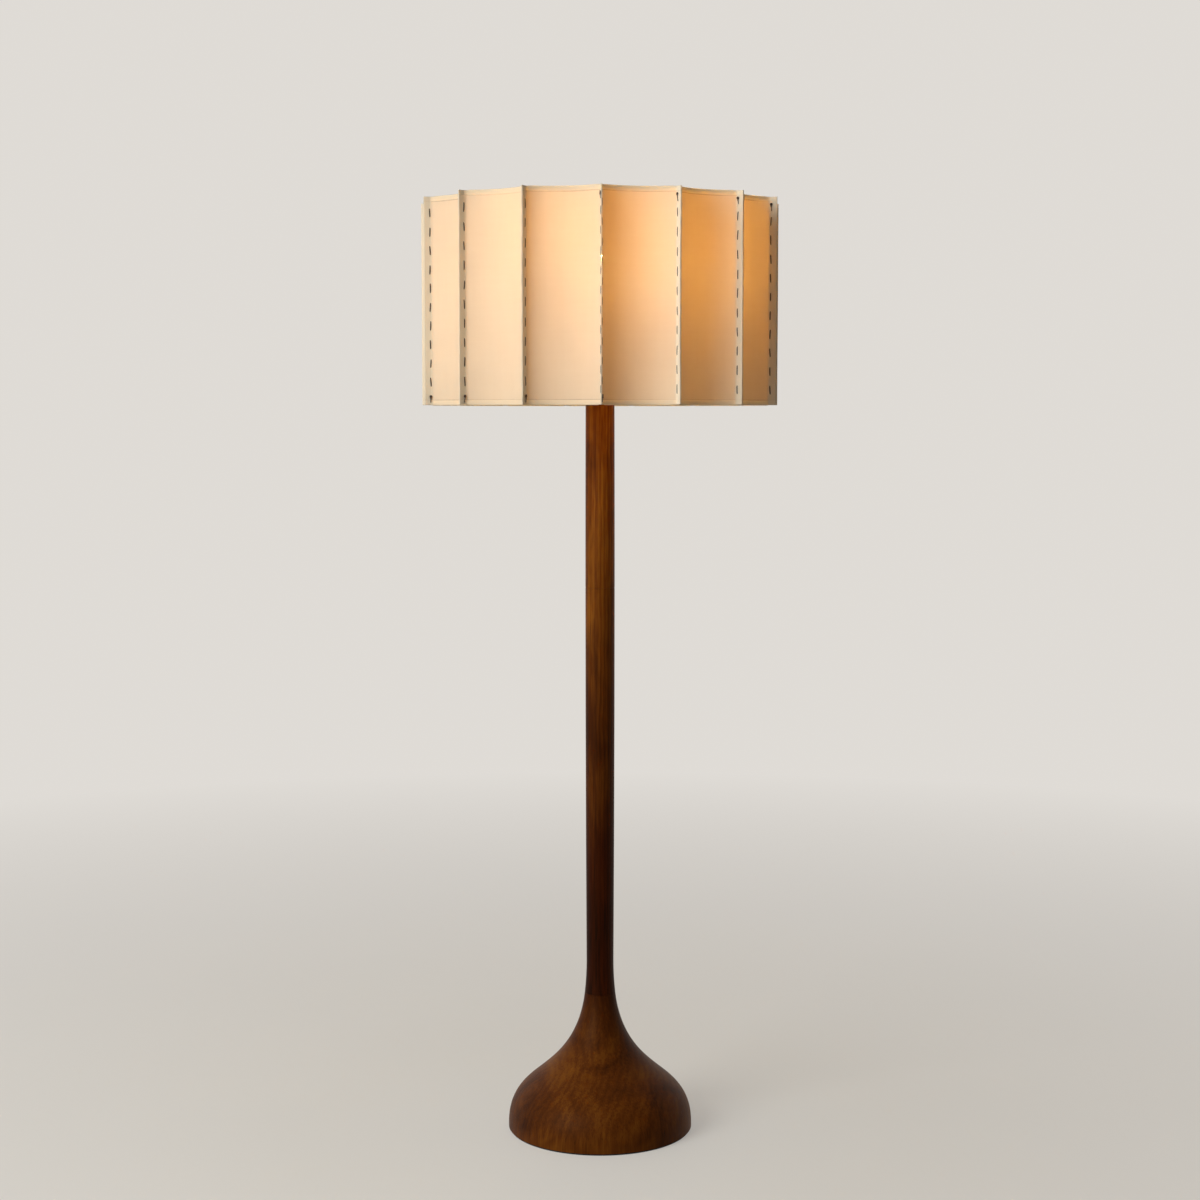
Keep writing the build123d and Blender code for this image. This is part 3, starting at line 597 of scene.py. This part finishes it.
def add_stitch(verts, faces, rng, fin, face, z):
    """One stitch, flat on the cloth, with both its ends drawn into it."""
    z += rng.uniform(-STITCH_STRAY, STITCH_STRAY)
    r = CREASE_R + STITCH_IN + rng.uniform(-STITCH_STRAY_IN, STITCH_STRAY_IN)
    half = STITCH_L * rng.uniform(0.92, 1.05) / 2
    lean = rng.uniform(-STITCH_STRAY, STITCH_STRAY)
    points, sizes = [], []
    for t in (-1.0, -0.96, -0.86, -0.6, -0.2, 0.2, 0.6, 0.86, 0.96, 1.0):
        lift = STITCH_ARCH * (1 - abs(t) ** 5) - STITCH_SINK
        points.append(on_fin(fin, face, r + lean * t, z + half * t, lift))
        full = 1 - 0.35 * abs(t) ** 6
        sizes.append((STITCH_HALF_W * full, STITCH_HALF_T * full))
    add_strand(verts, faces, points, fin_axes(fin)[0], sizes)


def add_knot(verts, faces, rng, fin, face, z):
    """A trefoil knot and the tail that hangs from it."""
    radial, tangent = fin_axes(fin)
    r = CREASE_R + STITCH_IN + KNOT_OUT
    lead = rng.uniform(0, 2 * math.pi)
    loop = []
    for n in range(KNOT_STEPS + 1):
        t = lead + 2 * math.pi * n / KNOT_STEPS
        x = (math.sin(t) + 2 * math.sin(2 * t)) / 3
        y = (math.cos(t) - 2 * math.cos(2 * t)) / 3
        h = -math.sin(3 * t)
        loop.append(on_fin(fin, face, r + KNOT_HALF_W * x, z + KNOT_HALF_L * y, KNOT_LIFT + KNOT_HALF_T * h))
    add_strand(verts, faces, loop, tangent + radial * 0.1, [(KNOT_CORD_R, KNOT_CORD_R)] * len(loop))
    drop = rng.uniform(*TAIL_DROP)
    swing = rng.uniform(-TAIL_SWING, TAIL_SWING)
    tail = []
    for n in range(TAIL_STEPS + 1):
        t = n / TAIL_STEPS
        lift = TAIL_LIFT - TAIL_SETTLE * t
        tail.append(on_fin(fin, face, r + swing * t, z - TAIL_START - drop * t, lift))
    add_strand(verts, faces, tail, radial, [(KNOT_CORD_R, TAIL_HALF_T)] * len(tail))


def seam_stitches():
    """The running stitches on both faces of each fin, with a small knot at one end of each row."""
    rng = random.Random(7)
    verts, faces = [], []
    for fin in range(PANELS):
        for face in (1, -1):
            for n in range(STITCHES):
                add_stitch(verts, faces, rng, fin, face, SHADE_TOP - ROW_START[face] - n * STITCH_PITCH)
            add_knot(verts, faces, rng, fin, face, SHADE_TOP - KNOT_PLACE[face])
    mesh = smooth_mesh("seam_stitches", verts, faces)
    mesh.materials.append(paints["lacing_cord"])
    stitches = add_object("seam_stitches", mesh)
    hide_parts("seam_lacing")
    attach(stitches, "shade")


for k in range(PANELS):
    shade_panel(k)
seam_stitches()


# Stage, lights and camera


def stage_floor():
    """A plain pale floor where it is seen, that throws only part of its light back up at the lamp."""
    reach = 40
    corners = [(-reach, -reach, 0), (reach, -reach, 0), (reach, reach, 0), (-reach, reach, 0)]
    mesh = bpy.data.meshes.new("stage_floor")
    mesh.from_pydata(corners, [], [(0, 1, 2, 3)])
    p = Paint("stage_floor", Roughness=0.8)
    seen = seen_rays(p.tree)
    tone = p.ramp(p.noise(1.5, detail=2), (0.3, (0.76, 0.74, 0.71)), (0.7, (0.79, 0.77, 0.74)))
    p.feed(Base_Color=p.blend(seen, (0.36, 0.34, 0.31, 1), tone))
    # It keeps the shadows near the lamp and fades into the pale backdrop further out.
    middle = p.node("TexCoord").outputs["Object"]
    away = p.node("VectorMath", {"operation": "LENGTH"}, i0=middle).outputs["Value"]
    p.mix_in(p.times(p.span(away, 0.5, 3.6, 0.45, 1.0), seen), p.node("Emission", Color=BACKDROP))
    mesh.materials.append(p.mat)
    floor = add_object("stage_floor", mesh)


def light(name, kind, place, target, power, size, colour):
    """A lamp of that kind. The size is a disk's width, or the radius of a lamp at a point."""
    data = bpy.data.lights.new(name, kind)
    data.energy = power
    data.color = colour
    if kind == "AREA":
        data.shape = "DISK"
        data.size = size
    else:
        data.shadow_soft_size = size
    if kind == "SPOT":
        data.spot_size = math.radians(165)
        data.spot_blend = 1.0
    lamp = add_object(name, data)
    lamp.location = place
    lamp.rotation_euler = (Vector(target) - Vector(place)).to_track_quat("-Z", "Y").to_euler()


def world():
    """Pale where it is seen, with a soft fill: strongest from left and behind, weakest from right front."""
    sky = bpy.data.worlds.new("studio")
    bpy.context.scene.world = sky
    sky.use_nodes = True
    tree = sky.node_tree
    tree.nodes.clear()
    where = add_node(tree, "TexCoord").outputs["Generated"]
    side = add_node(tree, "VectorMath", {"operation": "DOT_PRODUCT"}, i0=where, i1=(-1.0, 0.5, 0.0))
    strength = add_node(tree, "MapRange", i0=side.outputs["Value"], i1=-0.9, i2=1.1, i3=0.03, i4=0.52)
    fill = add_node(tree, "Background", Color=(1.0, 0.9, 0.76, 1), Strength=strength.outputs["Result"])
    pale = add_node(tree, "Background", Color=BACKDROP)
    mix = add_node(tree, "MixShader", Fac=seen_rays(tree), i1=fill.outputs[0], i2=pale.outputs[0])
    add_node(tree, "OutputWorld", Surface=mix.outputs[0])


stage_floor()
light("key", "AREA", (-2.75, -2.8, 2.3), (0, 0, 1.1), 126, 2.6, (0.97, 1.0, 0.97))
light("bulb_light", "POINT", BULB, (0, 0, 0), 3.3, BULB_LAMP_R, BULB_GLOW)
light("bulb_right", "SPOT", BULB, (0.5, -0.87, 1.8), 5.8, BULB_LAMP_R, BULB_GLOW)
world()

# Place, tilt in degrees below level and lens, as fitted to the photograph
CAMERA_AT = (-0.0001, -3.5638, 1.187)
CAMERA_TILT = 4.902
CAMERA_LENS = 65.56

camera = bpy.data.cameras.new("camera")
camera.lens = CAMERA_LENS
camera.sensor_width = 36
camera.clip_end = 200
eye = add_object("camera", camera)
eye.location = CAMERA_AT
eye.rotation_euler = (math.radians(90 - CAMERA_TILT), 0, 0)
bpy.context.scene.camera = eye
bpy.context.scene.view_settings.view_transform = "Standard"
